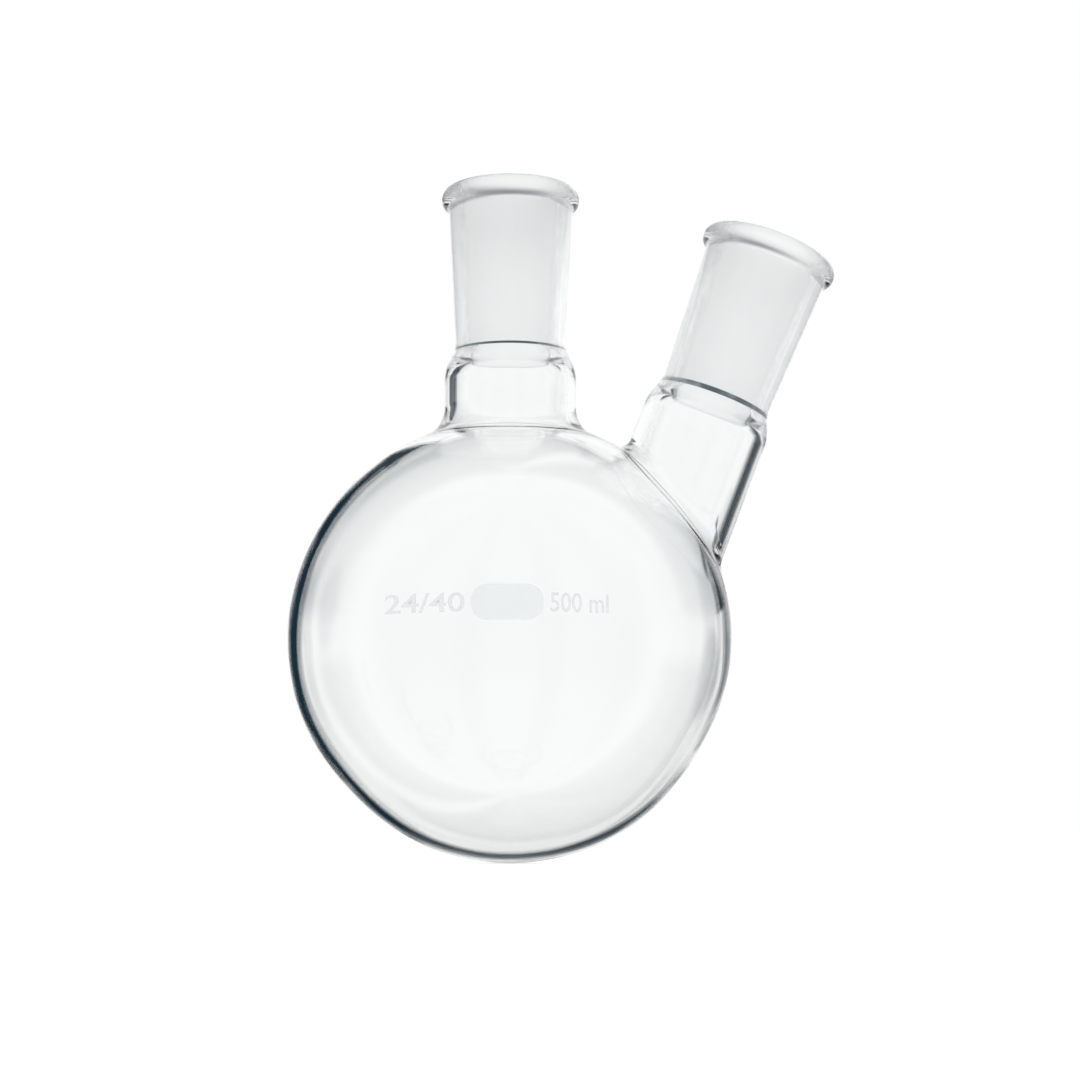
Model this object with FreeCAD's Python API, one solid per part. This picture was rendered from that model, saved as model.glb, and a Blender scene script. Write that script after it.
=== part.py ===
import FreeCAD, Part
import math
import os

# Two neck round bottom flask, blown and ground from borosilicate glass, with a fired-on print.
# Millimetres. The origin is the lowest point of the bulb, +Z runs up the centre neck,
# +X points to the side neck, and the print is on the -Y side of the bulb.

# Bulb
BULB_DIAMETER = 105.0
BULB_WALL = 2.0

# Ground sockets, alike on both necks: bore at the mouth, ground length, taper on the diameter
SOCKET_BORE = 24.0
SOCKET_LENGTH = 40.0
SOCKET_TAPER = 0.1
SOCKET_WALL = 3.2

# Thickened rim round each mouth
RIM_DIAMETER = 33.3
RIM_HEIGHT = 5.4
RIM_UNDERCUT = 1.2
RIM_TOP_ROUND = 2.8
RIM_SIDE_ROUND = 1.6
RIM_FOOT_ROUND = 0.8
MOUTH_ROUND = 0.9

# Plain tube between each socket and the bulb, the outer shoulder that joins it to the socket,
# and in the bore a short ledge below the ground length and the step that widens it to the tube
CENTRE_TUBE_DIAMETER = 31.5
SIDE_TUBE_DIAMETER = 30.6
TUBE_WALL = 2.5
SHOULDER_LENGTH = 5.8
SHOULDER_ROUND = 9.0
SHOULDER_OFFSET = 0.6
BORE_LEDGE_LENGTH = 0.5
BORE_LEDGE_ROUND = 0.8
BORE_STEP_LENGTH = 5.5
BORE_STEP_ROUND = 5.0

# Centre neck: mouth above the crown of the bulb, and the blend into the bulb
CENTRE_NECK_LENGTH = 57.0
CENTRE_BLEND = 5.0

# Side neck: where its axis leaves the bulb, measured from the crown, its tilt and its length
SIDE_NECK_PLACE = 49.4
SIDE_NECK_TILT = 21.0
SIDE_NECK_LENGTH = 65.6
SIDE_BLEND = 3.2

# Fired-on print on the bulb: thickness, and each field as centre across, height, width and depth
PRINT_THICKNESS = 0.1
PRINT_HEIGHT = 56.5
PATCH_WIDTH = 15.6
PATCH_DEPTH = 7.8
PATCH_ROUND = 3.4
NUMBER_DEPTH = 4.6
NUMBER_ROUND = 0.8
JOINT_NUMBER_CENTRE = -18.0
JOINT_NUMBER_WIDTH = 18.0
CAPACITY_NUMBER_CENTRE = 15.6
CAPACITY_NUMBER_WIDTH = 12.8

# Sizes that follow from those above
BULB_RADIUS = BULB_DIAMETER / 2
CENTRE_TUBE_RADIUS = CENTRE_TUBE_DIAMETER / 2
SIDE_TUBE_RADIUS = SIDE_TUBE_DIAMETER / 2
BULB_CENTRE = FreeCAD.Vector(0, 0, BULB_RADIUS)
UP = FreeCAD.Vector(0, 0, 1)
FRONT = FreeCAD.Vector(0, -1, 0)
LEAD_OUT = 2.0
SAME_PLACE = 1e-4


def polar(angle):
    """Unit vector in the plane of both necks, at an angle in degrees from +Z towards +X."""
    turn = math.radians(angle)
    return FreeCAD.Vector(math.sin(turn), 0, math.cos(turn))


CENTRE_MOUTH = FreeCAD.Vector(0, 0, BULB_DIAMETER + CENTRE_NECK_LENGTH)
SIDE_DIRECTION = polar(SIDE_NECK_TILT)
SIDE_ROOT = BULB_CENTRE + polar(SIDE_NECK_PLACE) * BULB_RADIUS
SIDE_MOUTH = SIDE_ROOT + SIDE_DIRECTION * SIDE_NECK_LENGTH


def socket_radius(depth, extra=0.0):
    """Radius of the ground bore at a depth below the mouth, with an extra for the wall."""
    return SOCKET_BORE / 2 - depth * SOCKET_TAPER / 2 + extra


def corner_arc(before, here, after, radius):
    """Start, middle and end of the arc that rounds the corner at here."""
    to_before = (before - here).normalize()
    to_after = (after - here).normalize()
    half_angle = to_before.getAngle(to_after) / 2
    reach = radius / math.tan(half_angle)
    inward = (to_before + to_after).normalize()
    middle = here + inward * (radius / math.sin(half_angle) - radius)
    return here + to_before * reach, middle, here + to_after * reach


def rounded_face(corners):
    """Face in the XZ plane from corners of (x, z, rounding radius)."""
    points = [FreeCAD.Vector(x, 0, z) for x, z, _ in corners]
    rounds = [radius for _, _, radius in corners]
    count = len(points)
    arcs = []
    for index in range(count):
        here = points[index]
        if rounds[index] > 0:
            arcs.append(corner_arc(points[index - 1], here, points[(index + 1) % count], rounds[index]))
        else:
            arcs.append((here, here, here))
    edges = []
    for index, (start, middle, end) in enumerate(arcs):
        if rounds[index] > 0:
            edges.append(Part.Arc(start, middle, end).toShape())
        next_start = arcs[(index + 1) % count][0]
        if (next_start - end).Length > SAME_PLACE:
            edges.append(Part.LineSegment(end, next_start).toShape())
    return Part.Face(Part.Wire(edges))


def turned(corners):
    """Solid turned about the Z axis from the corners of its half section."""
    return rounded_face(corners).revolve(FreeCAD.Vector(0, 0, 0), UP, 360)


def neck_outside(depth, tube_radius):
    """Outside of one neck, with the middle of its mouth at the origin and its foot at a depth."""
    shoulder_top = SOCKET_LENGTH - SHOULDER_OFFSET
    shoulder_foot = shoulder_top + SHOULDER_LENGTH
    rim_radius = RIM_DIAMETER / 2
    return turned([
        (0, 0, 0),
        (rim_radius, 0, RIM_TOP_ROUND),
        (rim_radius, RIM_UNDERCUT - RIM_HEIGHT, RIM_SIDE_ROUND),
        (socket_radius(RIM_HEIGHT, SOCKET_WALL), -RIM_HEIGHT, RIM_FOOT_ROUND),
        (socket_radius(shoulder_top, SOCKET_WALL), -shoulder_top, SHOULDER_ROUND),
        (tube_radius, -shoulder_foot, SHOULDER_ROUND),
        (tube_radius, -depth, 0),
        (0, -depth, 0),
    ])


def neck_bore(depth, bore_radius):
    """Bore of one neck: the ground taper, the step below it and the bore of the plain tube."""
    ledge_foot = SOCKET_LENGTH + BORE_LEDGE_LENGTH
    step_foot = ledge_foot + BORE_STEP_LENGTH
    ground_foot_radius = socket_radius(SOCKET_LENGTH)
    return turned([
        (0, LEAD_OUT, 0),
        (socket_radius(-LEAD_OUT), LEAD_OUT, 0),
        (ground_foot_radius, -SOCKET_LENGTH, 0),
        (ground_foot_radius, -ledge_foot, BORE_LEDGE_ROUND),
        (bore_radius, -step_foot, BORE_STEP_ROUND),
        (bore_radius, -depth, 0),
        (0, -depth, 0),
    ])


def at_mouth(solid, mouth, tilt):
    """Put a neck with its mouth's middle at a point, tilted in degrees from +Z towards +X."""
    placed = solid.copy()
    placed.rotate(FreeCAD.Vector(0, 0, 0), FreeCAD.Vector(0, 1, 0), tilt)
    placed.translate(mouth)
    return placed


def real_edges(solid):
    """Edges of a solid without the ones that shrink to a pole of the ball."""
    return [edge for edge in solid.Edges if not edge.Degenerated]


def ball(radius):
    """Ball about the middle of the bulb, with its seam at the back."""
    solid = Part.makeSphere(radius)
    solid.rotate(FreeCAD.Vector(0, 0, 0), UP, 90)
    solid.translate(BULB_CENTRE)
    return solid


def junction_edges(solid, ball_radius, tube_radius, mouth, direction):
    """Edges where a neck's tube meets the ball: on the ball and on the tube at once."""
    found = []
    for edge in real_edges(solid):
        spots = edge.discretize(5)
        on_ball = all(abs((spot - BULB_CENTRE).Length - ball_radius) < SAME_PLACE for spot in spots)
        on_tube = all(abs((spot - mouth).cross(direction).Length - tube_radius) < SAME_PLACE for spot in spots)
        if on_ball and on_tube:
            found.append(edge)
    return found


def blown_form(neck, wall, bulb_wall):
    """Ball and both necks as one solid with blended feet, set in from the outside by the walls."""
    ball_radius = BULB_RADIUS - bulb_wall
    centre_radius = CENTRE_TUBE_RADIUS - wall
    side_radius = SIDE_TUBE_RADIUS - wall
    centre_depth = (CENTRE_MOUTH - BULB_CENTRE).Length
    side_depth = (SIDE_MOUTH - BULB_CENTRE).dot(SIDE_DIRECTION)
    centre = at_mouth(neck(centre_depth, centre_radius), CENTRE_MOUTH, 0)
    side = at_mouth(neck(side_depth, side_radius), SIDE_MOUTH, SIDE_NECK_TILT)
    form = ball(ball_radius).fuse([centre, side])
    centre_edges = junction_edges(form, ball_radius, centre_radius, CENTRE_MOUTH, UP)
    form = form.makeFillet(CENTRE_BLEND + wall, centre_edges)
    side_edges = junction_edges(form, ball_radius, side_radius, SIDE_MOUTH, SIDE_DIRECTION)
    return form.makeFillet(SIDE_BLEND + wall, side_edges)


def mouth_edges(solid):
    """Inner edges of both mouths, where the bore meets the flat top of the rim."""
    found = []
    for edge in real_edges(solid):
        curve = edge.Curve
        if not isinstance(curve, Part.Circle) or abs(curve.Radius - SOCKET_BORE / 2) > SAME_PLACE:
            continue
        if min((curve.Center - mouth).Length for mouth in (CENTRE_MOUTH, SIDE_MOUTH)) < SAME_PLACE:
            found.append(edge)
    return found


def flask():
    """The glass: outside less bore, with the inner edge of each mouth fire polished."""
    outside = blown_form(neck_outside, 0, 0)
    inside = blown_form(neck_bore, TUBE_WALL, BULB_WALL)
    glass = outside.cut(inside)
    return glass.makeFillet(MOUTH_ROUND, mouth_edges(glass)).Solids[0]


def printed_field(centre, width, depth, corner):
    """One flat colour field fired on the front of the bulb, with rounded corners."""
    left = centre - width / 2
    right = centre + width / 2
    foot = PRINT_HEIGHT - depth / 2
    top = PRINT_HEIGHT + depth / 2
    face = rounded_face([(left, foot, corner), (right, foot, corner), (right, top, corner), (left, top, corner)])
    reach = face.extrude(FRONT * (BULB_RADIUS + LEAD_OUT))
    skin = ball(BULB_RADIUS + PRINT_THICKNESS).cut(ball(BULB_RADIUS))
    return reach.common(skin).Solids[0]


def marking_patch():
    """White patch for pencil notes in the middle of the print."""
    return printed_field(0, PATCH_WIDTH, PATCH_DEPTH, PATCH_ROUND)


def size_print():
    """Fields of the joint size and the capacity, left and right of the patch."""
    joint = printed_field(JOINT_NUMBER_CENTRE, JOINT_NUMBER_WIDTH, NUMBER_DEPTH, NUMBER_ROUND)
    capacity = printed_field(CAPACITY_NUMBER_CENTRE, CAPACITY_NUMBER_WIDTH, NUMBER_DEPTH, NUMBER_ROUND)
    return Part.makeCompound([joint, capacity])


def main():
    """Write one STEP file for each piece."""
    os.makedirs("parts", exist_ok=True)
    pieces = {"flask": flask(), "marking_patch": marking_patch(), "size_print": size_print()}
    for name, shape in pieces.items():
        shape.exportStep("parts/" + name + ".step")
        print(name, "solids", len(shape.Solids), "volume", round(shape.Volume, 1), "valid", shape.isValid())


main()
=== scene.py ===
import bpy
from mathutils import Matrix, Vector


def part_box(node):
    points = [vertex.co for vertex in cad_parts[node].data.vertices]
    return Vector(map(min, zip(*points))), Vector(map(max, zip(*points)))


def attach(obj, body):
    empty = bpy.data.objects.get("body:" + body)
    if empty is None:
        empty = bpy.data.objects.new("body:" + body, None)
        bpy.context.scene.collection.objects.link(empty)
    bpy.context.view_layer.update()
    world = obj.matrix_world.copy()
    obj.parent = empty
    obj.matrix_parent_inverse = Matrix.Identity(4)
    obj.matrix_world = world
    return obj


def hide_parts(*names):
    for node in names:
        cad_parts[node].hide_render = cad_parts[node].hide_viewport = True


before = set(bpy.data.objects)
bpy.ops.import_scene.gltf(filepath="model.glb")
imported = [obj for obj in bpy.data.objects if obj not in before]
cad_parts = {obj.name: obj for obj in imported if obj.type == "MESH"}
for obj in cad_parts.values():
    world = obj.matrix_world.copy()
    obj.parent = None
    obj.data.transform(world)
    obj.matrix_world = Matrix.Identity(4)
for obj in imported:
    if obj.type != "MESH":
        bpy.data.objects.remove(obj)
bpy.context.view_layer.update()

import math

import bmesh
import bpy
import numpy as np
from mathutils import Matrix
from mathutils.geometry import delaunay_2d_cdt

# Shapes are worked out in millimetres in the frame's axes and written to the meshes in metres.
MM = 0.001
FLASK_LOW, FLASK_HIGH = (np.array(corner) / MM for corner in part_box("flask"))

# Bulb, with its size read from the frame
BULB_RADIUS = -FLASK_LOW[0]
BULB_CENTRE = np.array([0.0, 0.0, BULB_RADIUS])
BULB_WALL = 2.0

# Ground sockets and their rims, alike on both necks. Here and below, a top or a foot is a depth
# under the mouth.
SOCKET_BORE = 24.0
SOCKET_LENGTH = 40.0
SOCKET_TAPER = 0.1
SOCKET_WALL = 3.2
GROUND_TOP = 0.95
RIM_DIAMETER = 33.3
RIM_HEIGHT = 5.4
RIM_UNDERCUT = 1.2
RIM_TOP_ROUND = 2.8
RIM_SIDE_ROUND = 2.3
RIM_FOOT_ROUND = 1.5
MOUTH_ROUND = 0.9

# Tubes under the sockets, and the shoulder that widens the outside to them
TUBE_RADIUS = 15.75
SIDE_TUBE_RADIUS = 15.3
TUBE_WALL = 2.5
SHOULDER_TOP = 39.4
SHOULDER_FOOT = 45.2
SHOULDER_ROUND = 9.0

# In the bore, the ledge under the ground length, the step that widens it to the tube, and how far
# down the band of painted shade at the end of the grinding reaches in each neck
LEDGE_FOOT = 40.5
LEDGE_ROUND = 0.8
STEP_FOOT = 46.0
STEP_ROUND = 5.0
CENTRE_EDGE_FOOT = 40.72
SIDE_EDGE_FOOT = 41.4

# Feet of the necks: the side neck's blend is tight between the necks and wide elsewhere
CENTRE_BLEND = 8.0
SIDE_BLEND = (3.2, 9.0)
CENTRE_MOUTH = np.array([0.0, 0.0, FLASK_HIGH[2]])
SIDE_NECK_PLACE = math.radians(49.4)
SIDE_NECK_TILT = math.radians(21.0)
SIDE_NECK_LENGTH = 65.6

# Mesh density: columns round each neck, longest row, widest steps of arcs, and rows of the side
# neck's foot, with the tube that its outline keeps under the shoulder and under the step
BODY_COLUMNS = 192
SIDE_COLUMNS = 144
ROW_STEP = 2.2
ARC_STEP = math.radians(9.0)
SHOULDER_STEP = ARC_STEP / 2
RIM_FOOT_STEP = ARC_STEP * 2
MOUTH_STEP = ARC_STEP * 1.5
BLEND_STEP = ARC_STEP / 1.5
BALL_STEP = math.radians(1.85)
SIDE_TUBE_ROWS = 12
SIDE_BLEND_ROWS = 12
OUTER_TUBE_START = 4.0
INNER_TUBE_START = 3.0

# Margin of the gap in the bulb's rows round the side neck, and the smallest distances that count
PATCH_MARGIN = 0.65
SAME_PLACE = 1e-6
SAME_CORNER = 1e-9


def unit(vectors):
    """Vectors of length one along the last axis."""
    return vectors / np.linalg.norm(vectors, axis=-1, keepdims=True)


def polar(angle):
    """Unit vector in the plane of both necks, at an angle in radians from +Z towards +X."""
    return np.array([math.sin(angle), 0.0, math.cos(angle)])


DEEP = np.array([0.0, 1.0, 0.0])
SIDE_AXIS = polar(SIDE_NECK_TILT)
SIDE_MOUTH = BULB_CENTRE + polar(SIDE_NECK_PLACE) * BULB_RADIUS + SIDE_AXIS * SIDE_NECK_LENGTH


def socket_radius(depth):
    """Radius of the ground bore at a depth below the mouth."""
    return SOCKET_BORE / 2 - depth * SOCKET_TAPER / 2


def rounded_path(corners):
    """Points and outward normals along corners of (radius, height, rounding, widest step)."""
    places = [np.array(corner[:2]) for corner in corners]
    points = []
    tangents = []

    def walk(end, heading):
        """Straight rows from the last point to an end."""
        start = points[-1]
        length = np.linalg.norm(end - start)
        steps = max(1, math.ceil(length / ROW_STEP))
        for step in range(1, steps + 1):
            points.append(start + (end - start) * step / steps)
            tangents.append(heading)

    points.append(places[0])
    tangents.append(unit(places[1] - places[0]))
    for index in range(1, len(corners) - 1):
        here = places[index]
        into = unit(here - places[index - 1])
        out = unit(places[index + 1] - here)
        turn = math.atan2(into[0] * out[1] - into[1] * out[0], into @ out)
        rounding, widest = corners[index][2], corners[index][3]
        if rounding == 0:
            walk(here, unit(into + out))
            continue
        reach = rounding * math.tan(abs(turn) / 2)
        start = here - into * reach
        if np.linalg.norm(start - points[-1]) > SAME_PLACE:
            walk(start, into)
        bend = rounding * math.copysign(1.0, turn)
        first = math.atan2(into[1], into[0])
        steps = max(2, math.ceil(abs(turn) / widest))
        for step in range(1, steps + 1):
            heading = first + turn * step / steps
            shift = (math.sin(heading) - math.sin(first), math.cos(first) - math.cos(heading))
            points.append(start + bend * np.array(shift))
            tangents.append(np.array([math.cos(heading), math.sin(heading)]))
    walk(places[-1], unit(places[-1] - places[-2]))
    tangents = np.array(tangents)
    return np.array(points), np.stack([tangents[:, 1], -tangents[:, 0]], axis=1)


def neck_corners(tube, edge_foot):
    """Corners of a neck from its outer shoulder over the rim to the step in its bore."""
    rim = RIM_DIAMETER / 2
    ground_foot = socket_radius(SOCKET_LENGTH)
    under_rim = socket_radius(RIM_HEIGHT) + SOCKET_WALL
    bore = tube - TUBE_WALL
    edge_share = (edge_foot - LEDGE_FOOT) / (STEP_FOOT - LEDGE_FOOT)
    return [
        (tube, -SHOULDER_FOOT, SHOULDER_ROUND, SHOULDER_STEP),
        (socket_radius(SHOULDER_TOP) + SOCKET_WALL, -SHOULDER_TOP, SHOULDER_ROUND, SHOULDER_STEP),
        (under_rim, -RIM_HEIGHT, RIM_FOOT_ROUND, RIM_FOOT_STEP),
        (rim, RIM_UNDERCUT - RIM_HEIGHT, RIM_SIDE_ROUND, ARC_STEP),
        (rim, 0.0, RIM_TOP_ROUND, ARC_STEP),
        (SOCKET_BORE / 2, 0.0, MOUTH_ROUND, MOUTH_STEP),
        (socket_radius(GROUND_TOP), -GROUND_TOP, 0.0, 0.0),
        (ground_foot, -SOCKET_LENGTH, 0.0, 0.0),
        (ground_foot, -LEDGE_FOOT, LEDGE_ROUND, ARC_STEP),
        (ground_foot + (bore - ground_foot) * edge_share, -edge_foot, 0.0, 0.0),
        (bore, -STEP_FOOT, STEP_ROUND, ARC_STEP),
    ]


def around(points, normals, origin, axis, columns):
    """Grids of points and normals from a half outline turned about an axis, and the spokes."""
    across = np.cross(DEEP, axis)
    turn = np.arange(columns) * 2 * math.pi / columns
    spoke = np.cos(turn)[:, None] * across + np.sin(turn)[:, None] * DEEP

    def spread(pairs):
        """Pairs of (radius, height) carried round the axis."""
        return pairs[:, 0, None, None] * spoke[None] + pairs[:, 1, None, None] * axis

    return spread(points) + origin, spread(normals), spoke


def ball_arc(radius, start, end):
    """Points and normals on a ball about the bulb's middle, by angle from the crown."""
    steps = math.ceil(abs(end - start) / BALL_STEP)
    angle = np.linspace(start, end, steps + 1)
    normals = np.stack([np.sin(angle), np.cos(angle)], axis=1)
    return normals * radius, normals


def blend_arc(ball, tube, blend):
    """Arc of the blend between the centre neck's tube and a ball, from the ball up to the tube."""
    middle = np.array([tube + blend, math.sqrt((ball + blend) ** 2 - (tube + blend) ** 2)])
    lowest = math.atan2(-middle[1], -middle[0])
    highest = -math.pi
    steps = math.ceil(abs(highest - lowest) / BLEND_STEP)
    angle = np.linspace(lowest, highest, steps + 1)
    spin = np.stack([np.cos(angle), np.sin(angle)], axis=1)
    return middle + spin * blend, -spin


def body_grid():
    """Bulb and centre neck as one grid, from the outer to the inner lowest point of the bulb."""
    inner_radius = BULB_RADIUS - BULB_WALL
    bore = TUBE_RADIUS - TUBE_WALL
    outer_blend, outer_blend_normals = blend_arc(BULB_RADIUS, TUBE_RADIUS, CENTRE_BLEND)
    inner_blend, inner_blend_normals = blend_arc(inner_radius, bore, CENTRE_BLEND + TUBE_WALL)
    outer_meet = math.atan2(*outer_blend[0])
    inner_meet = math.atan2(*inner_blend[0])
    outer_ball, outer_normals = ball_arc(BULB_RADIUS, math.pi, outer_meet)
    inner_ball, inner_normals = ball_arc(inner_radius, inner_meet, math.pi)
    rise = CENTRE_MOUTH[2] - BULB_CENTRE[2]
    corners = [(TUBE_RADIUS, outer_blend[-1][1] - rise)] + neck_corners(TUBE_RADIUS, CENTRE_EDGE_FOOT)
    corners.append((bore, inner_blend[-1][1] - rise))
    neck, neck_normals = rounded_path(corners)
    neck = neck + np.array([0.0, rise])
    points = np.concatenate([outer_ball, outer_blend[1:], neck[1:],
                             inner_blend[::-1][1:], inner_ball[1:]])
    normals = np.concatenate([outer_normals, outer_blend_normals[1:], neck_normals[1:],
                              -inner_blend_normals[::-1][1:], -inner_normals[1:]])
    ground = ground_rows(points - np.array([0.0, rise]), CENTRE_EDGE_FOOT)
    grid, grid_normals, _ = around(points, normals, BULB_CENTRE, polar(0.0), BODY_COLUMNS)
    return grid, grid_normals, ground, len(outer_ball), len(inner_ball)


def ground_rows(points, edge_foot):
    """Material of each row of faces: 0 clear, 1 ground, 2 end of the ground length in painted dark shade, 3
    ground in the rim.
    """
    middle = (points[1:] + points[:-1]) / 2
    in_bore = middle[:, 0] < SOCKET_BORE / 2
    ground = in_bore & (middle[:, 1] < -GROUND_TOP) & (middle[:, 1] > -SOCKET_LENGTH)
    # Rows at the end of the ground length, which get the painted dark shade
    edge = in_bore & (middle[:, 1] < -SOCKET_LENGTH) & (middle[:, 1] > -edge_foot)
    within_rim = ground & (middle[:, 1] > -RIM_HEIGHT)
    return ground * 1 + edge * 2 + within_rim * 2


def side_blend(spoke):
    """Blend round the side neck's foot: tight in the crotch of the necks, wide elsewhere."""
    right = np.cross(DEEP, SIDE_AXIS)
    share = np.clip(spoke @ right + 1.0, 0.0, 1.0)[:, None]
    low, high = SIDE_BLEND
    return low + (high - low) * share ** 2 * (3 - 2 * share)


def side_junction(spoke, ball, tube, blend):
    """Rows of the blend between the side neck's tube and a ball, from the ball up to the tube."""
    foot = SIDE_MOUTH - SIDE_AXIS * ((SIDE_MOUTH - BULB_CENTRE) @ SIDE_AXIS)
    flat = foot - BULB_CENTRE + spoke * (tube + blend)
    height = np.sqrt((ball + blend) ** 2 - (flat ** 2).sum(axis=1)[:, None])
    middle = foot + spoke * (tube + blend) + SIDE_AXIS * height
    to_ball = unit(BULB_CENTRE - middle)
    to_tube = -spoke
    opening = np.arccos((to_ball * to_tube).sum(axis=1))[:, None]
    rows = []
    for step in range(SIDE_BLEND_ROWS + 1):
        share = step / SIDE_BLEND_ROWS
        heading = np.sin((1 - share) * opening) * to_ball + np.sin(share * opening) * to_tube
        heading = heading / np.sin(opening)
        rows.append((middle + heading * blend, -heading))
    points = np.array([row[0] for row in rows])
    headings = np.array([row[1] for row in rows])
    beside = np.roll(points, -1, axis=1) - np.roll(points, 1, axis=1)
    normals = unit(np.cross(np.gradient(points, axis=0), beside))
    normals *= np.sign((normals * headings).sum(axis=-1, keepdims=True))
    normals[[0, -1]] = headings[[0, -1]]
    return points, normals


def side_grid():
    """Side neck as one grid, from its outer ring on the bulb over the rim to its inner ring."""
    bore = SIDE_TUBE_RADIUS - TUBE_WALL
    corners = [(SIDE_TUBE_RADIUS, -SHOULDER_FOOT - OUTER_TUBE_START)]
    corners += neck_corners(SIDE_TUBE_RADIUS, SIDE_EDGE_FOOT)
    corners.append((bore, -STEP_FOOT - INNER_TUBE_START))
    path, path_normals = rounded_path(corners)
    ground = ground_rows(path, SIDE_EDGE_FOOT)
    neck, neck_normals, spoke = around(path, path_normals, SIDE_MOUTH, SIDE_AXIS, SIDE_COLUMNS)
    blend = side_blend(spoke)
    outer, outer_normals = side_junction(spoke, BULB_RADIUS, SIDE_TUBE_RADIUS, blend)
    inner, inner_normals = side_junction(spoke, BULB_RADIUS - BULB_WALL, bore, blend + TUBE_WALL)

    def tube_rows(low, high):
        """Straight rows between a ring of the blend and a ring of the neck, both left out."""
        share = np.arange(1, SIDE_TUBE_ROWS)[:, None, None] / SIDE_TUBE_ROWS
        return low[None] + (high - low)[None] * share

    wall = np.broadcast_to(spoke, (SIDE_TUBE_ROWS - 1,) + spoke.shape)
    grid = np.concatenate([outer, tube_rows(outer[-1], neck[0]), neck,
                           tube_rows(neck[-1], inner[-1]), inner[::-1]])
    normals = np.concatenate([outer_normals, wall, neck_normals, -wall, -inner_normals[::-1]])
    before = np.zeros(len(outer) + SIDE_TUBE_ROWS - 1, dtype=int)
    after = np.zeros(len(inner) + SIDE_TUBE_ROWS - 1, dtype=int)
    return grid, normals, np.concatenate([before, ground, after])


def ball_picture(points, heading):
    """Stereographic picture of points on the ball, with its middle at a heading."""
    across = unit(np.cross(DEEP, heading))
    deep = np.cross(heading, across)
    ways = unit(points - BULB_CENTRE)
    return np.stack([ways @ across, ways @ deep], axis=-1) / (1 + ways @ heading)[..., None]


def in_polygon(point, polygon):
    """Whether a flat point lies inside a closed polygon."""
    x, y = point
    inside = False
    for index in range(len(polygon)):
        x1, y1 = polygon[index - 1]
        x2, y2 = polygon[index]
        if (y1 > y) != (y2 > y) and x < (x2 - x1) * (y - y1) / (y2 - y1) + x1:
            inside = not inside
    return inside


class GlassMesh:
    """Points, normals and faces of the flask as they are gathered."""

    def __init__(self):
        self.points = []
        self.normals = []
        self.faces = []
        self.ground = []
        self.count = 0

    def add_points(self, points, normals):
        """Add points and give back their numbers in the same layout."""
        shape = points.shape[:-1]
        total = int(np.prod(shape))
        self.points.append(points.reshape(-1, 3))
        self.normals.append(normals.reshape(-1, 3))
        numbers = np.arange(self.count, self.count + total).reshape(shape)
        self.count += total
        return numbers

    def add_rows(self, numbers, ground, skipped=()):
        """Add the faces between rows of numbers, apart from the skipped ones."""
        rows, columns = numbers.shape
        for row in range(rows - 1):
            for column in range(columns):
                if (row, column) in skipped:
                    continue
                beside = (column + 1) % columns
                corners = [numbers[row, column], numbers[row, beside],
                           numbers[row + 1, beside], numbers[row + 1, column]]
                kept = [corners[index] for index in range(4) if corners[index] != corners[index - 1]]
                self.faces.append([int(corner) for corner in kept])
                self.ground.append(int(ground[row]))

    def fill_gap(self, outline, ring, outward):
        """Fill the gap on a ball between the edges round a hole and the side neck's ring."""
        points = np.concatenate(self.points)
        heading = unit(points[ring].mean(axis=0) - BULB_CENTRE)
        numbers = list(dict.fromkeys([corner for edge in outline for corner in edge])) + ring
        place = {number: index for index, number in enumerate(numbers)}
        spots = ball_picture(points[numbers], heading)
        edges = [(place[a], place[b]) for a, b in outline]
        edges += [(place[ring[index - 1]], place[ring[index]]) for index in range(len(ring))]
        hole = [tuple(spots[place[number]]) for number in ordered_loop(outline)]
        inner = [tuple(spots[place[number]]) for number in ring]
        found = delaunay_2d_cdt([tuple(spot) for spot in spots], edges, [], 0, SAME_CORNER)
        corners, triangles, origins = found[0], found[2], found[3]
        for triangle in triangles:
            middle = sum((corners[corner] for corner in triangle[1:]), corners[triangle[0]]) / 3
            if not in_polygon(middle, hole) or in_polygon(middle, inner):
                continue
            face = [int(numbers[origins[corner][0]]) for corner in triangle]
            a, b, c = (points[number] for number in face)
            if (np.cross(b - a, c - a) @ (a - BULB_CENTRE) > 0) != outward:
                face.reverse()
            self.faces.append(face)
            self.ground.append(0)


def ordered_loop(edges):
    """Corners of a closed chain of edges, in order."""
    ways = {}
    for a, b in edges:
        ways.setdefault(a, []).append(b)
        ways.setdefault(b, []).append(a)
    loop = [edges[0][0], edges[0][1]]
    while True:
        onward = [corner for corner in ways[loop[-1]] if corner != loop[-2]][0]
        if onward == loop[0]:
            return loop
        loop.append(onward)


def covered_faces(grid, first, last, ring):
    """Faces of the ball's rows that the side neck's ring, with its margin, reaches."""
    heading = unit(ring.mean(axis=0) - BULB_CENTRE)
    edge = ball_picture(ring, heading)
    edge_turn = np.arctan2(edge[:, 1], edge[:, 0])
    order = np.argsort(edge_turn)
    reach = np.linalg.norm(edge, axis=1) + PATCH_MARGIN / BULB_RADIUS
    spots = ball_picture(grid[first:last], heading)
    turn = np.arctan2(spots[..., 1], spots[..., 0])
    limit = np.interp(turn, edge_turn[order], reach[order], period=2 * math.pi)
    facing = unit(grid[first:last] - BULB_CENTRE) @ heading > 0
    inside = facing & (np.linalg.norm(spots, axis=-1) < limit)
    near = inside | np.roll(inside, -1, axis=1)
    touched = near[:-1] | near[1:]
    return {(first + int(row), int(column)) for row, column in zip(*np.nonzero(touched))}


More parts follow.
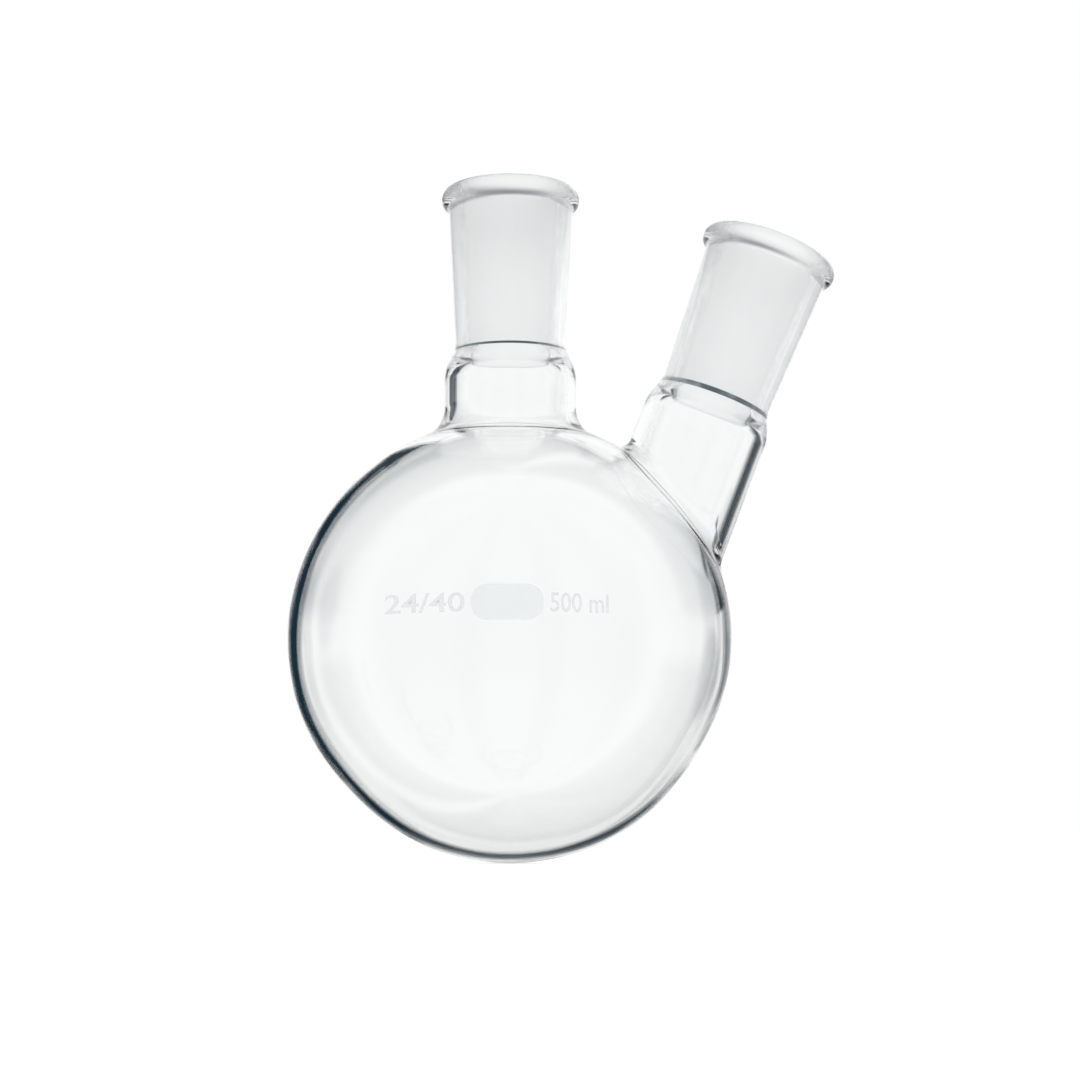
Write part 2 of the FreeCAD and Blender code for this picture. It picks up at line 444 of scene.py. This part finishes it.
def hole_edges(numbers, skipped):
    """Edges between skipped faces and kept ones."""
    count = {}
    columns = numbers.shape[1]
    for row, column in skipped:
        beside = (column + 1) % columns
        corners = [numbers[row, column], numbers[row, beside],
                   numbers[row + 1, beside], numbers[row + 1, column]]
        for index in range(4):
            edge = tuple(sorted((int(corners[index - 1]), int(corners[index]))))
            count[edge] = count.get(edge, 0) + 1
    return [edge for edge, times in count.items() if times == 1]


# Hand-blown unevenness: where the bulb is a little flat, by direction, depth and width, and the
# slow waves of the glass, which fade out over the feet of the necks
FLAT_SPOTS = (
    (unit(np.array([-0.72, 0.0, -0.69])), 0.85, 0.050),
    (unit(np.array([0.86, 0.0, -0.50])), 1.00, 0.040),
)
WAVE_LENGTHS = (46.0, 31.0, 24.0)
WAVE_DEPTHS = (0.04, 0.02, 0.01)
INNER_WAVE_DEPTHS = (0.012, 0.007, 0.004)
WAVE_SHIFT = 0.3
INNER_WAVE_SHIFT = 1.1
WAVE_FADE = 6.0
BULB_INSIDE_TOP = CENTRE_MOUTH[2] - 50.0


def wave(points, depths, shift):
    """Slow unevenness of blown glass, between minus and plus the sum of its depths."""
    total = np.zeros(points.shape[:-1])
    for index, (length, depth) in enumerate(zip(WAVE_LENGTHS, depths)):
        turn = 2.4 * (index + 1) + shift
        way = np.array([math.cos(turn), math.sin(turn), math.cos(1.7 * turn)])
        other = np.array([math.sin(turn), -math.cos(turn), math.sin(1.3 * turn)])
        phase = points @ unit(way) * 2 * math.pi / length + shift
        cross_phase = points @ unit(other) * 2 * math.pi / (length * 1.3)
        total += depth * np.sin(phase) * np.cos(cross_phase + turn)
    return total


def blown(points, inner):
    """Points moved by the unevenness of hand-blown glass; inner is 1 on the inside of the bulb."""
    away = points - BULB_CENTRE
    length = np.linalg.norm(away, axis=-1, keepdims=True)
    way = away / length
    pull = np.zeros(length.shape)
    for heading, depth, width in FLAT_SPOTS:
        pull -= depth * np.exp(-(1 - (way @ heading)[..., None]) / width)
    on_bulb = np.clip((BULB_RADIUS + WAVE_FADE - length) / WAVE_FADE, 0.0, 1.0)
    slow = wave(points, WAVE_DEPTHS, WAVE_SHIFT) - sum(WAVE_DEPTHS)
    slow = slow + wave(points, INNER_WAVE_DEPTHS, INNER_WAVE_SHIFT) * inner
    return points + way * (pull + slow[..., None] * on_bulb ** 2)


def blown_normals(points, normals, inner):
    """Normals of the moved surface."""
    small = 0.02
    columns = []
    for axis in range(3):
        step = np.zeros(3)
        step[axis] = small
        columns.append((blown(points + step, inner) - blown(points - step, inner)) / (2 * small))
    jacobian = np.stack(columns, axis=-1)
    return unit(np.linalg.solve(np.swapaxes(jacobian, -1, -2), normals[..., None])[..., 0])


def glass_object(name, gathered, materials):
    """Mesh object of the gathered glass, with smooth normals of its own."""
    points = np.concatenate(gathered.points)
    normals = np.concatenate(gathered.normals)
    inward = (normals * (points - BULB_CENTRE)).sum(axis=1) < 0
    inner = (inward & (points[:, 2] < BULB_INSIDE_TOP)).astype(float)
    moved = blown(points, inner)
    turned = blown_normals(points, normals, inner)
    mesh = bpy.data.meshes.new(name)
    mesh.from_pydata((moved * MM).tolist(), [], gathered.faces)
    for material in materials:
        mesh.materials.append(material)
    mesh.polygons.foreach_set("use_smooth", [True] * len(mesh.polygons))
    mesh.polygons.foreach_set("material_index", gathered.ground)
    mesh.normals_split_custom_set_from_vertices(turned.tolist())
    mesh.update()
    piece = bpy.data.objects.new(name, mesh)
    bpy.context.scene.collection.objects.link(piece)
    return piece


def build_glass(materials):
    """The blown flask: one closed skin of glass, outside and inside."""
    gathered = GlassMesh()
    grid, normals, ground, outer_rows, inner_rows = body_grid()
    side, side_normals, side_ground = side_grid()
    body = gathered.add_points(grid[1:-1], normals[1:-1])
    outer_pole = gathered.add_points(grid[:1, 0], normals[:1, 0])
    inner_pole = gathered.add_points(grid[-1:, 0], normals[-1:, 0])
    top = np.broadcast_to(outer_pole, (1, BODY_COLUMNS))
    end = np.broadcast_to(inner_pole, (1, BODY_COLUMNS))
    numbers = np.concatenate([top, body, end])
    side_numbers = gathered.add_points(side, side_normals)
    outer_skip = covered_faces(grid, 1, outer_rows, side[0])
    inner_skip = covered_faces(grid, len(grid) - inner_rows, len(grid) - 1, side[-1])
    gathered.add_rows(numbers, ground, outer_skip | inner_skip)
    gathered.add_rows(side_numbers, side_ground)
    gathered.fill_gap(hole_edges(numbers, outer_skip), side_numbers[0].tolist(), True)
    gathered.fill_gap(hole_edges(numbers, inner_skip), side_numbers[-1].tolist(), False)
    return glass_object("blown_glass", gathered, materials)


# Print on the bulb: height of its line, the patch's width, height and corner, and the numbers with
# their names, the centre across, the width and the height
PRINT_HEIGHT = 56.5
PATCH_SIZE = (15.6, 7.8, 3.4)
PATCH_CORNER_STEPS = 8
NUMBERS = (
    ("joint_number", "24/40", -18.0, 17.6, 4.3),
    ("capacity_number", "500 ml", 15.6, 12.6, 4.3),
)
STROKE_OFFSET = 0.012
STROKE_CURVE_STEPS = 4

# Its gap to the glass, its thickness, the longest edge and the most halvings of its faces, and what
# counts as one corner or as no area
PRINT_GAP = 0.02
PRINT_THICKNESS = 0.05
PRINT_FACE = 0.7
PRINT_HALVINGS = 4
PRINT_SAME_CORNER = 1e-4
SLIVER_AREA = 1e-4


def wrapped_print(name, flat, material):
    """Thin print piece wrapped on the front of the bulb from a flat mesh in x and height."""
    bmesh.ops.triangulate(flat, faces=flat.faces[:])
    for _ in range(PRINT_HALVINGS):
        long_edges = [edge for edge in flat.edges if edge.calc_length() > PRINT_FACE]
        if long_edges:
            bmesh.ops.subdivide_edges(flat, edges=long_edges, cuts=1)
            bmesh.ops.triangulate(flat, faces=[face for face in flat.faces if len(face.verts) > 3])
    spots = np.array([vertex.co[:] for vertex in flat.verts])
    radius = BULB_RADIUS + PRINT_GAP
    depth = -np.sqrt(radius ** 2 - spots[:, 0] ** 2 - (spots[:, 2] - BULB_CENTRE[2]) ** 2)
    placed = np.stack([spots[:, 0], depth, spots[:, 2]], axis=1)
    for vertex, place in zip(flat.verts, blown(placed, np.zeros(len(placed)))):
        vertex.co = place * MM
    bmesh.ops.recalc_face_normals(flat, faces=flat.faces[:])
    if sum(face.normal.y * face.calc_area() for face in flat.faces) > 0:
        bmesh.ops.reverse_faces(flat, faces=flat.faces[:])
    mesh = bpy.data.meshes.new(name)
    flat.to_mesh(mesh)
    flat.free()
    mesh.materials.append(material)
    piece = bpy.data.objects.new(name, mesh)
    bpy.context.scene.collection.objects.link(piece)
    skin = piece.modifiers.new("thickness", "SOLIDIFY")
    skin.thickness = PRINT_THICKNESS * MM
    skin.offset = 1.0
    return piece


def patch_piece(material):
    """Rounded patch for pencil notes in the middle of the print."""
    width, height, corner = PATCH_SIZE
    flat = bmesh.new()
    outline = []
    for side_x, side_z, first in ((1, 1, 0.0), (-1, 1, 90.0), (-1, -1, 180.0), (1, -1, 270.0)):
        for step in range(PATCH_CORNER_STEPS + 1):
            turn = math.radians(first + step * 90.0 / PATCH_CORNER_STEPS)
            x = side_x * (width / 2 - corner) + corner * math.cos(turn)
            z = side_z * (height / 2 - corner) + corner * math.sin(turn)
            outline.append(flat.verts.new((x, 0.0, PRINT_HEIGHT + z)))
    flat.faces.new(outline)
    return wrapped_print("notes_patch", flat, material)


def join_slivers(flat):
    """Join each triangle without area to its neighbour at its longest edge, and divide both anew."""
    slivers = [face for face in flat.faces if face.calc_area() < SLIVER_AREA]
    longest = dict.fromkeys(max(face.edges, key=lambda edge: edge.calc_length()) for face in slivers)
    bmesh.ops.dissolve_edges(flat, edges=list(longest), use_verts=False)
    bmesh.ops.triangulate(flat, faces=flat.faces[:])


def number_piece(name, words, centre, width, height, material):
    """Line of plain numbers in the built-in font, made as wide and as high as asked."""
    curve = bpy.data.curves.new(name + "_line", "FONT")
    curve.body = words
    curve.offset = STROKE_OFFSET
    curve.resolution_u = STROKE_CURVE_STEPS
    helper = bpy.data.objects.new(name + "_line", curve)
    bpy.context.scene.collection.objects.link(helper)
    bpy.context.view_layer.update()
    source = bpy.data.meshes.new_from_object(helper.evaluated_get(bpy.context.evaluated_depsgraph_get()))
    flat = bmesh.new()
    flat.from_mesh(source)
    bpy.data.objects.remove(helper)
    bpy.data.curves.remove(curve)
    bpy.data.meshes.remove(source)
    places = np.array([vertex.co[:] for vertex in flat.verts])
    low, high = places.min(axis=0), places.max(axis=0)
    scale = np.array([width, height]) / (high - low)[:2]
    for vertex in flat.verts:
        x = (vertex.co.x - (low[0] + high[0]) / 2) * scale[0] + centre
        z = (vertex.co.y - (low[1] + high[1]) / 2) * scale[1] + PRINT_HEIGHT
        vertex.co = (x, 0.0, z)
    bmesh.ops.remove_doubles(flat, verts=flat.verts[:], dist=PRINT_SAME_CORNER)
    join_slivers(flat)
    return wrapped_print(name, flat, material)


class Nodes:
    """Adds nodes to a tree and joins them."""

    def __init__(self, tree):
        self.tree = tree
        tree.nodes.clear()

    def add(self, kind, inputs=None, **settings):
        """New node of a kind, with settings and with inputs that are values or sockets."""
        node = self.tree.nodes.new(kind)
        for key, value in settings.items():
            setattr(node, key, value)
        for key, value in (inputs or {}).items():
            if isinstance(value, bpy.types.NodeSocket):
                self.tree.links.new(value, node.inputs[key])
            else:
                node.inputs[key].default_value = value
        return node

    def math(self, operation, first, second=0.0, third=0.0):
        """Result of one Math node."""
        inputs = {0: first, 1: second, 2: third}
        return self.add("ShaderNodeMath", inputs, operation=operation).outputs[0]

    def times(self, first, *others):
        """Product of values."""
        for other in others:
            first = self.math("MULTIPLY", first, other)
        return first

    def smooth(self, value, low, high):
        """0 at low, 1 at high, smooth between them and flat beyond them; low may be the greater."""
        inputs = {"Value": value, "From Min": low, "From Max": high}
        return self.add("ShaderNodeMapRange", inputs, interpolation_type="SMOOTHSTEP").outputs[0]

    def band(self, value, rise, fall):
        """1 between a rise and a fall, each given as where it starts and ends."""
        return self.math("SUBTRACT", self.smooth(value, *rise), self.smooth(value, *fall))

    def ramp(self, value, stops):
        """Colour ramp with stops of (place, colour)."""
        node = self.add("ShaderNodeValToRGB", {0: value})
        elements = node.color_ramp.elements
        while len(elements) > 1:
            elements.remove(elements[-1])
        elements[0].position, elements[0].color = stops[0][0], (*stops[0][1], 1.0)
        for place, colour in stops[1:]:
            elements.new(place).color = (*colour, 1.0)
        return node.outputs[0]

    def mix(self, share, first, second):
        """Mix of two colours."""
        node = self.add("ShaderNodeMix", {0: share}, data_type="RGBA")
        for index, value in ((6, first), (7, second)):
            if isinstance(value, bpy.types.NodeSocket):
                self.tree.links.new(value, node.inputs[index])
            else:
                node.inputs[index].default_value = (*value, 1.0)
        return node.outputs[2]

    def noise(self, place, scale, detail=2.0, roughness=0.5):
        """Height of a noise texture at a place."""
        inputs = {"Vector": place, "Scale": scale, "Detail": detail, "Roughness": roughness}
        return self.add("ShaderNodeTexNoise", inputs).outputs[0]


def material_nodes(name):
    """New material and the helper for its nodes."""
    material = bpy.data.materials.new(name)
    material.use_nodes = True
    return material, Nodes(material.node_tree)


# Refractive index of borosilicate glass
GLASS_IOR = 1.473


def clear_glass():
    """Borosilicate glass: clear, a trace of green, faintly uneven as blown glass is."""
    material, nodes = material_nodes("clear_borosilicate")
    place = nodes.add("ShaderNodeTexCoord").outputs["Object"]
    slow = nodes.noise(place, scale=38.0, detail=1.0)
    tint = nodes.ramp(slow, ((0.3, (0.975, 0.990, 0.986)), (0.7, (0.990, 0.998, 0.995))))
    fine = nodes.noise(place, scale=70.0, detail=1.0)
    bump = nodes.add("ShaderNodeBump", {"Height": fine, "Strength": 0.02, "Distance": 0.002})
    smear = nodes.noise(place, scale=160.0)
    roughness = nodes.times(smear, 0.012)
    shader = nodes.add("ShaderNodeBsdfPrincipled", {
        "Base Color": tint,
        "Roughness": roughness,
        "IOR": GLASS_IOR,
        "Transmission Weight": 1.0,
        "Normal": bump.outputs[0],
    })
    nodes.add("ShaderNodeOutputMaterial", {"Surface": shader.outputs[0]})
    return material


def ground_glass(name, dullness, clearness):
    """Ground bore of a joint: the same glass with a fine dull surface."""
    material, nodes = material_nodes(name)
    place = nodes.add("ShaderNodeTexCoord").outputs["Object"]
    grain = nodes.noise(place, scale=2600.0, detail=3.0, roughness=0.7)
    bump = nodes.add("ShaderNodeBump", {"Height": grain, "Strength": 0.25, "Distance": 0.0001})
    cloud = nodes.noise(place, scale=90.0, detail=3.0)
    tint = nodes.ramp(cloud, ((0.25, (0.960, 0.968, 0.966)), (0.75, (0.985, 0.987, 0.984))))
    roughness = nodes.math("MULTIPLY_ADD", cloud, 0.08, dullness)
    shader = nodes.add("ShaderNodeBsdfPrincipled", {
        "Base Color": tint,
        "Roughness": roughness,
        "IOR": GLASS_IOR,
        "Transmission Weight": clearness,
        "Normal": bump.outputs[0],
    })
    nodes.add("ShaderNodeOutputMaterial", {"Surface": shader.outputs[0]})
    return material


def ground_end_painted_shade():
    """Lower end of a ground bore in painted shade: a dark, patchy band for the dark line that refraction
    draws at the end of the grinding, and painted paler on the back half, which is seen through the front.
    """
    material, nodes = material_nodes("ground_end_painted_shade")
    place = nodes.add("ShaderNodeTexCoord").outputs["Object"]
    cloud = nodes.noise(place, scale=110.0)
    # Painted shade: dark, patchy tones standing in for the line that refraction draws where the grinding
    # ends
    tint = nodes.ramp(cloud, (
        (0.35, (0.008, 0.020, 0.030)),
        (0.50, (0.020, 0.040, 0.055)),
        (0.63, (0.30, 0.34, 0.36)),
    ))
    depth = nodes.add("ShaderNodeSeparateXYZ", {0: place}).outputs[1]
    # Painted light: the back half, seen through the front glass, is made paler
    tint = nodes.mix(nodes.smooth(depth, -0.002, 0.006), tint, (0.80, 0.82, 0.83))
    shader = nodes.add("ShaderNodeBsdfPrincipled", {
        "Base Color": tint,
        "Roughness": 0.4,
        "IOR": GLASS_IOR,
        "Transmission Weight": 0.45,
    })
    nodes.add("ShaderNodeOutputMaterial", {"Surface": shader.outputs[0]})
    return material


def enamel(name, low, high, cover):
    """Fired-on enamel between two tints. Its cover varies by 15 percent and lets the glass show."""
    material, nodes = material_nodes(name)
    place = nodes.add("ShaderNodeTexCoord").outputs["Object"]
    cloud = nodes.noise(place, scale=700.0, detail=3.0, roughness=0.6)
    tint = nodes.ramp(cloud, ((0.3, low), (0.7, high)))
    thin = nodes.math("MULTIPLY_ADD", cloud, 0.3 * cover, 0.85 * cover)
    shader = nodes.add("ShaderNodeBsdfPrincipled", {
        "Base Color": tint,
        "Roughness": 0.55,
        "Alpha": thin,
    })
    nodes.add("ShaderNodeOutputMaterial", {"Surface": shader.outputs[0]})
    return material


# Camera, worked out from the photograph: the bulb and both mouths fall on their places in it.
# Place in millimetres, turns in radians, lens and sensor in millimetres.
EYE = np.array([6.09, -542.3, 8.57])
EYE_PITCH = 0.1243
EYE_YAW = 0.0019
LENS = 76.5
SENSOR = 36.0


def add_camera():
    """Camera in front of the flask, near the floor, looking slightly up."""
    data = bpy.data.cameras.new("camera")
    data.lens = LENS
    data.sensor_width = SENSOR
    data.sensor_fit = "HORIZONTAL"
    data.clip_start = 0.01
    data.clip_end = 50.0
    camera = bpy.data.objects.new("camera", data)
    bpy.context.scene.collection.objects.link(camera)
    turn = Matrix.Rotation(-EYE_YAW, 4, "Z") @ Matrix.Rotation(math.pi / 2 + EYE_PITCH, 4, "X")
    camera.matrix_world = Matrix.Translation((EYE * MM).tolist()) @ turn
    bpy.context.scene.camera = camera


# Studio surround: what the glass sees, by angle in degrees off the camera's line to the bulb's
# middle and by spin round that line. Each row of cards is spin, darkness, inner and outer edge.
VIEW = unit(BULB_CENTRE - EYE)
VIEW_RIGHT = unit(np.cross(VIEW, [0.0, 0.0, 1.0]))
VIEW_ABOVE = np.cross(VIEW_RIGHT, VIEW)
CARDS = (
    (0, 0.80, 17, 33),
    (18, 0.75, 17, 31),
    (40, 0.00, 17, 31),
    (98, 0.05, 20, 32),
    (112, 0.85, 21, 32),
    (125, 1.00, 20, 33),
    (145, 1.00, 17, 36),
    (165, 1.00, 15.5, 40),
    (180, 1.00, 15.5, 40),
    (200, 1.00, 16, 38),
    (240, 1.00, 16.5, 36),
    (255, 0.95, 21, 36),
    (270, 0.90, 24, 38),
    (290, 0.95, 21, 37),
    (312, 0.95, 17.5, 31),
    (328, 0.10, 17, 30),
    (345, 0.85, 16.5, 29),
    (360, 0.80, 17, 33),
)
CARD_SCALE = 80.0
CARD_INNER_SLOPE = (-1.5, 1.5)
CARD_OUTER_SLOPE = (-1.5, 3.0)
CARD_COLOUR = (0.012, 0.028, 0.042)

# Dim part of the room to the right of the camera's view: darkness, direction and soft edge
CORNER_TURN = math.radians(52)
CORNER_WAY = unit(VIEW * math.cos(CORNER_TURN) + VIEW_RIGHT * math.sin(CORNER_TURN) - VIEW_ABOVE * 0.14)
CORNER_SLOPE = (math.cos(math.radians(13)), math.cos(math.radians(7)))
CORNER_DARKNESS = 0.95

# Rest of the room. A slope is where a change starts and ends: by height, as the upward share of a
# direction, by the share along the view, by the angle off it, or by azimuth in radians from +Y to +X.
LOW_DARKNESS, LOW_SLOPE = 0.12, (0.0, -0.13)
HIGH_DARKNESS, HIGH_SLOPE = 0.06, (0.19, 0.30)
BEHIND_SLOPE = (0.3, -0.6)
BEHIND_SHARP = (0.67, 0.68, 0.69)
BEHIND_SOFT = (0.46, 0.47, 0.48)
OVERHEAD_DARKNESS = 0.9
OVERHEAD_HEIGHT_SLOPE = (0.48, 0.60)
OVERHEAD_AZIMUTH_SLOPE = (0.62, 0.42)
OVERHEAD_AHEAD_SLOPE = (0.0, 0.3)
LEFT_DARKNESS, LEFT_RISE, LEFT_FALL = 0.95, (-0.34, -0.62), (-1.30, -1.60)
RIGHT_DARKNESS, RIGHT_RISE, RIGHT_FALL = 0.90, (0.62, 0.90), (1.25, 1.50)
SIDE_AHEAD_SLOPE = (-0.9, -0.4)
SIDE_HEIGHT_SLOPE = (0.08, 0.22)
SIDE_LOW_SHARE = 0.28
BELOW_SLOPE = (-0.25, -0.55)
BELOW_COLOUR = (0.85, 0.85, 0.85)

# Faint dark strips round the flask, which give the other views something to reflect
STRIP_COUNT = 8
STRIP_DARKNESS = 0.20
STRIP_SLOPE = (-0.2, -0.9)
STRIP_OFF_AXIS_SLOPE = (62.0, 75.0)
STRIP_HEIGHT_SLOPE = (0.75, 0.35)
STRIP_COLOUR = (0.10, 0.13, 0.15)

# Cards close behind the necks, each as depth, corners of x and height, and stops of brightness
# by the place across the side neck, from its axis to the right
NECK_CARDS = (
    (40.0, ((-37, 110), (26, 110), (44, 98), (62, 84), (70, 68), (106, 68), (118, 118), (118, 134),
            (112, 150), (94, 158), (52, 168), (-37, 168)),
     ((0.0, 1.0), (33.0, 1.0), (41.0, 0.30), (47.0, 0.0), (75.0, 0.0))),
    (40.0, ((-54, 112), (-37, 112), (-37, 158), (-70, 158), (-70, 148), (-56, 134)), ((0.0, 0.02),)),
    (41.0, ((-105, 137), (-37, 137), (-37, 190), (-105, 190)), ((0.0, 0.10),)),
)


def frame_darkness(nodes, along, off_axis):
    """Darkness of the frame of cards and of the dim part of the room."""
    spin = nodes.math("ARCTAN2", along(VIEW_ABOVE), along(VIEW_RIGHT))
    spin = nodes.math("FRACT", nodes.math("MULTIPLY_ADD", spin, 0.5 / math.pi, 1.0))
    card = nodes.ramp(spin, [(turn / 360, (darkness, inner / CARD_SCALE, outer / CARD_SCALE))
                             for turn, darkness, inner, outer in CARDS])
    darkness, inner, outer = nodes.add("ShaderNodeSeparateColor", {0: card}).outputs
    past_inner = nodes.math("SUBTRACT", off_axis, nodes.times(inner, CARD_SCALE))
    past_outer = nodes.math("SUBTRACT", off_axis, nodes.times(outer, CARD_SCALE))
    dark = nodes.math("SUBTRACT", nodes.smooth(past_inner, *CARD_INNER_SLOPE),
                      nodes.smooth(past_outer, *CARD_OUTER_SLOPE))
    corner = nodes.times(nodes.smooth(along(CORNER_WAY), *CORNER_SLOPE), CORNER_DARKNESS)
    return nodes.math("MAXIMUM", nodes.times(dark, darkness), corner)


def side_darkness(nodes, ahead, height, azimuth):
    """Darkness of both sides of the room, full above the bulb and weak below."""
    left = nodes.times(nodes.band(azimuth, LEFT_RISE, LEFT_FALL), LEFT_DARKNESS)
    right = nodes.times(nodes.band(azimuth, RIGHT_RISE, RIGHT_FALL), RIGHT_DARKNESS)
    upper = nodes.math("MULTIPLY_ADD", nodes.smooth(height, *SIDE_HEIGHT_SLOPE),
                       1 - SIDE_LOW_SHARE, SIDE_LOW_SHARE)
    return nodes.times(nodes.math("MAXIMUM", left, right), nodes.smooth(ahead, *SIDE_AHEAD_SLOPE), upper)


def add_surround():
    """Light tent: white, with dark parts out of the camera's sight that draw the edges of the glass."""
    world = bpy.data.worlds.new("surround")
    bpy.context.scene.world = world
    world.use_nodes = True
    nodes = Nodes(world.node_tree)
    way = nodes.add("ShaderNodeTexCoord").outputs["Generated"]
    rays = nodes.add("ShaderNodeLightPath").outputs

    def along(direction):
        """Share of the direction of a ray along another direction."""
        inputs = {0: way, 1: tuple(direction)}
        return nodes.add("ShaderNodeVectorMath", inputs, operation="DOT_PRODUCT").outputs["Value"]

    ahead = along(VIEW)
    height = along((0.0, 0.0, 1.0))
    azimuth = nodes.math("ARCTAN2", along((1.0, 0.0, 0.0)), along((0.0, 1.0, 0.0)))
    off_axis = nodes.times(nodes.math("ARCCOSINE", ahead), 180 / math.pi)

    dimmed = nodes.math("MAXIMUM", nodes.times(nodes.smooth(height, *LOW_SLOPE), LOW_DARKNESS),
                        nodes.times(nodes.smooth(height, *HIGH_SLOPE), HIGH_DARKNESS))
    light = nodes.mix(dimmed, (1.0, 1.0, 1.0), CARD_COLOUR)
    behind = nodes.mix(rays["Is Diffuse Ray"], BEHIND_SHARP, BEHIND_SOFT)
    light = nodes.mix(nodes.smooth(ahead, *BEHIND_SLOPE), light, behind)
    overhead = nodes.times(nodes.smooth(height, *OVERHEAD_HEIGHT_SLOPE),
                           nodes.smooth(azimuth, *OVERHEAD_AZIMUTH_SLOPE),
                           nodes.smooth(ahead, *OVERHEAD_AHEAD_SLOPE), OVERHEAD_DARKNESS)
    light = nodes.mix(overhead, light, CARD_COLOUR)
    light = nodes.mix(side_darkness(nodes, ahead, height, azimuth), light, CARD_COLOUR)
    light = nodes.mix(nodes.smooth(height, *BELOW_SLOPE), light, BELOW_COLOUR)
    strip = nodes.math("COSINE", nodes.times(azimuth, STRIP_COUNT))
    strip = nodes.times(nodes.smooth(strip, *STRIP_SLOPE), nodes.smooth(off_axis, *STRIP_OFF_AXIS_SLOPE),
                        nodes.smooth(height, *STRIP_HEIGHT_SLOPE), STRIP_DARKNESS)
    light = nodes.mix(strip, light, STRIP_COLOUR)
    light = nodes.mix(frame_darkness(nodes, along, off_axis), light, CARD_COLOUR)
    light = nodes.mix(rays["Is Camera Ray"], light, (1.0, 1.0, 1.0))
    shader = nodes.add("ShaderNodeBackground", {"Color": light, "Strength": 1.0})
    nodes.add("ShaderNodeOutputWorld", {"Surface": shader.outputs[0]})


def stage_sheet(name, corners, material):
    """Flat sheet of the studio."""
    mesh = bpy.data.meshes.new(name)
    places = [tuple(value * MM for value in corner) for corner in corners]
    mesh.from_pydata(places, [], [tuple(range(len(corners)))])
    mesh.materials.append(material)
    sheet = bpy.data.objects.new(name, mesh)
    bpy.context.scene.collection.objects.link(sheet)
    return sheet


def add_cards():
    """Cards close behind the necks, seen only through and off the glass."""
    side_right = np.cross(DEEP, SIDE_AXIS) / CARD_SCALE / MM
    for index, (depth, corners, stops) in enumerate(NECK_CARDS):
        material, nodes = material_nodes("card_%d" % index)
        place = nodes.add("ShaderNodeTexCoord").outputs["Object"]
        inputs = {0: place, 1: tuple(side_right)}
        across = nodes.add("ShaderNodeVectorMath", inputs, operation="DOT_PRODUCT").outputs["Value"]
        light = nodes.ramp(across, [
            (reach / CARD_SCALE, tuple(level + (1 - level) * dark for dark in CARD_COLOUR))
            for reach, level in stops
        ])
        shader = nodes.add("ShaderNodeEmission", {"Color": light, "Strength": 1.0})
        nodes.add("ShaderNodeOutputMaterial", {"Surface": shader.outputs[0]})
        card = stage_sheet("neck_card_%d" % index, [(x, depth, z) for x, z in corners], material)
        card.visible_camera = False
        card.visible_diffuse = False
        card.visible_shadow = False


# Floor: half its side in millimetres, its glow, and the shade round the resting point in metres
FLOOR_HALF = 6000.0
FLOOR_GLOW = 0.80
CONTACT_SHADE = 0.35
CONTACT_REACH = 0.022


def add_floor():
    """Plain white floor that the camera sees, a little shaded where the bulb rests."""
    material, nodes = material_nodes("white_floor")
    place = nodes.add("ShaderNodeTexCoord").outputs["Object"]
    cloud = nodes.noise(place, scale=3.0)
    tint = nodes.ramp(cloud, ((0.3, (0.80, 0.80, 0.80)), (0.7, (0.82, 0.82, 0.82))))
    reach = nodes.add("ShaderNodeVectorMath", {0: place}, operation="LENGTH").outputs["Value"]
    shade = nodes.times(nodes.smooth(reach, CONTACT_REACH, 0.0), CONTACT_SHADE)
    glow = nodes.math("SUBTRACT", FLOOR_GLOW, shade)
    shader = nodes.add("ShaderNodeBsdfPrincipled", {
        "Base Color": tint,
        "Roughness": 0.9,
        "Specular IOR Level": 0.0,
        "Emission Color": (1.0, 1.0, 1.0, 1.0),
        "Emission Strength": glow,
    })
    nodes.add("ShaderNodeOutputMaterial", {"Surface": shader.outputs[0]})
    corners = [(x * FLOOR_HALF, y * FLOOR_HALF, 0) for x, y in ((-1, -1), (1, -1), (1, 1), (-1, 1))]
    floor = stage_sheet("floor", corners, material)
    floor.visible_transmission = False
    floor.visible_glossy = False


# Bounces of light that the walls of the glass need
GLASS_BOUNCES = 16
GLOSS_BOUNCES = 6


def main():
    """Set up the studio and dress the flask."""
    bpy.context.scene.view_settings.view_transform = "Standard"
    cycles = bpy.context.scene.cycles
    cycles.max_bounces = GLASS_BOUNCES
    cycles.transmission_bounces = GLASS_BOUNCES
    cycles.glossy_bounces = GLOSS_BOUNCES
    add_camera()
    add_surround()
    add_cards()
    add_floor()
    glass = build_glass([
        clear_glass(),
        ground_glass("ground_joint", dullness=0.76, clearness=0.80),
        # End of each ground length, in painted dark shade
        ground_end_painted_shade(),
        ground_glass("ground_mouth", dullness=0.40, clearness=0.92),
    ])
    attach(glass, "root")
    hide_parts("flask")
    glass.visible_shadow = False
    glass.visible_diffuse = False
    patch = patch_piece(enamel("patch_enamel", (0.70, 0.73, 0.75), (0.80, 0.82, 0.83), cover=0.14))
    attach(patch, "root")
    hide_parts("marking_patch")
    ink = enamel("number_enamel", (0.62, 0.66, 0.68), (0.72, 0.75, 0.77), cover=0.18)
    for name, words, centre, width, height in NUMBERS:
        number = number_piece(name, words, centre, width, height, ink)
        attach(number, "root")
        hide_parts("size_print")


main()
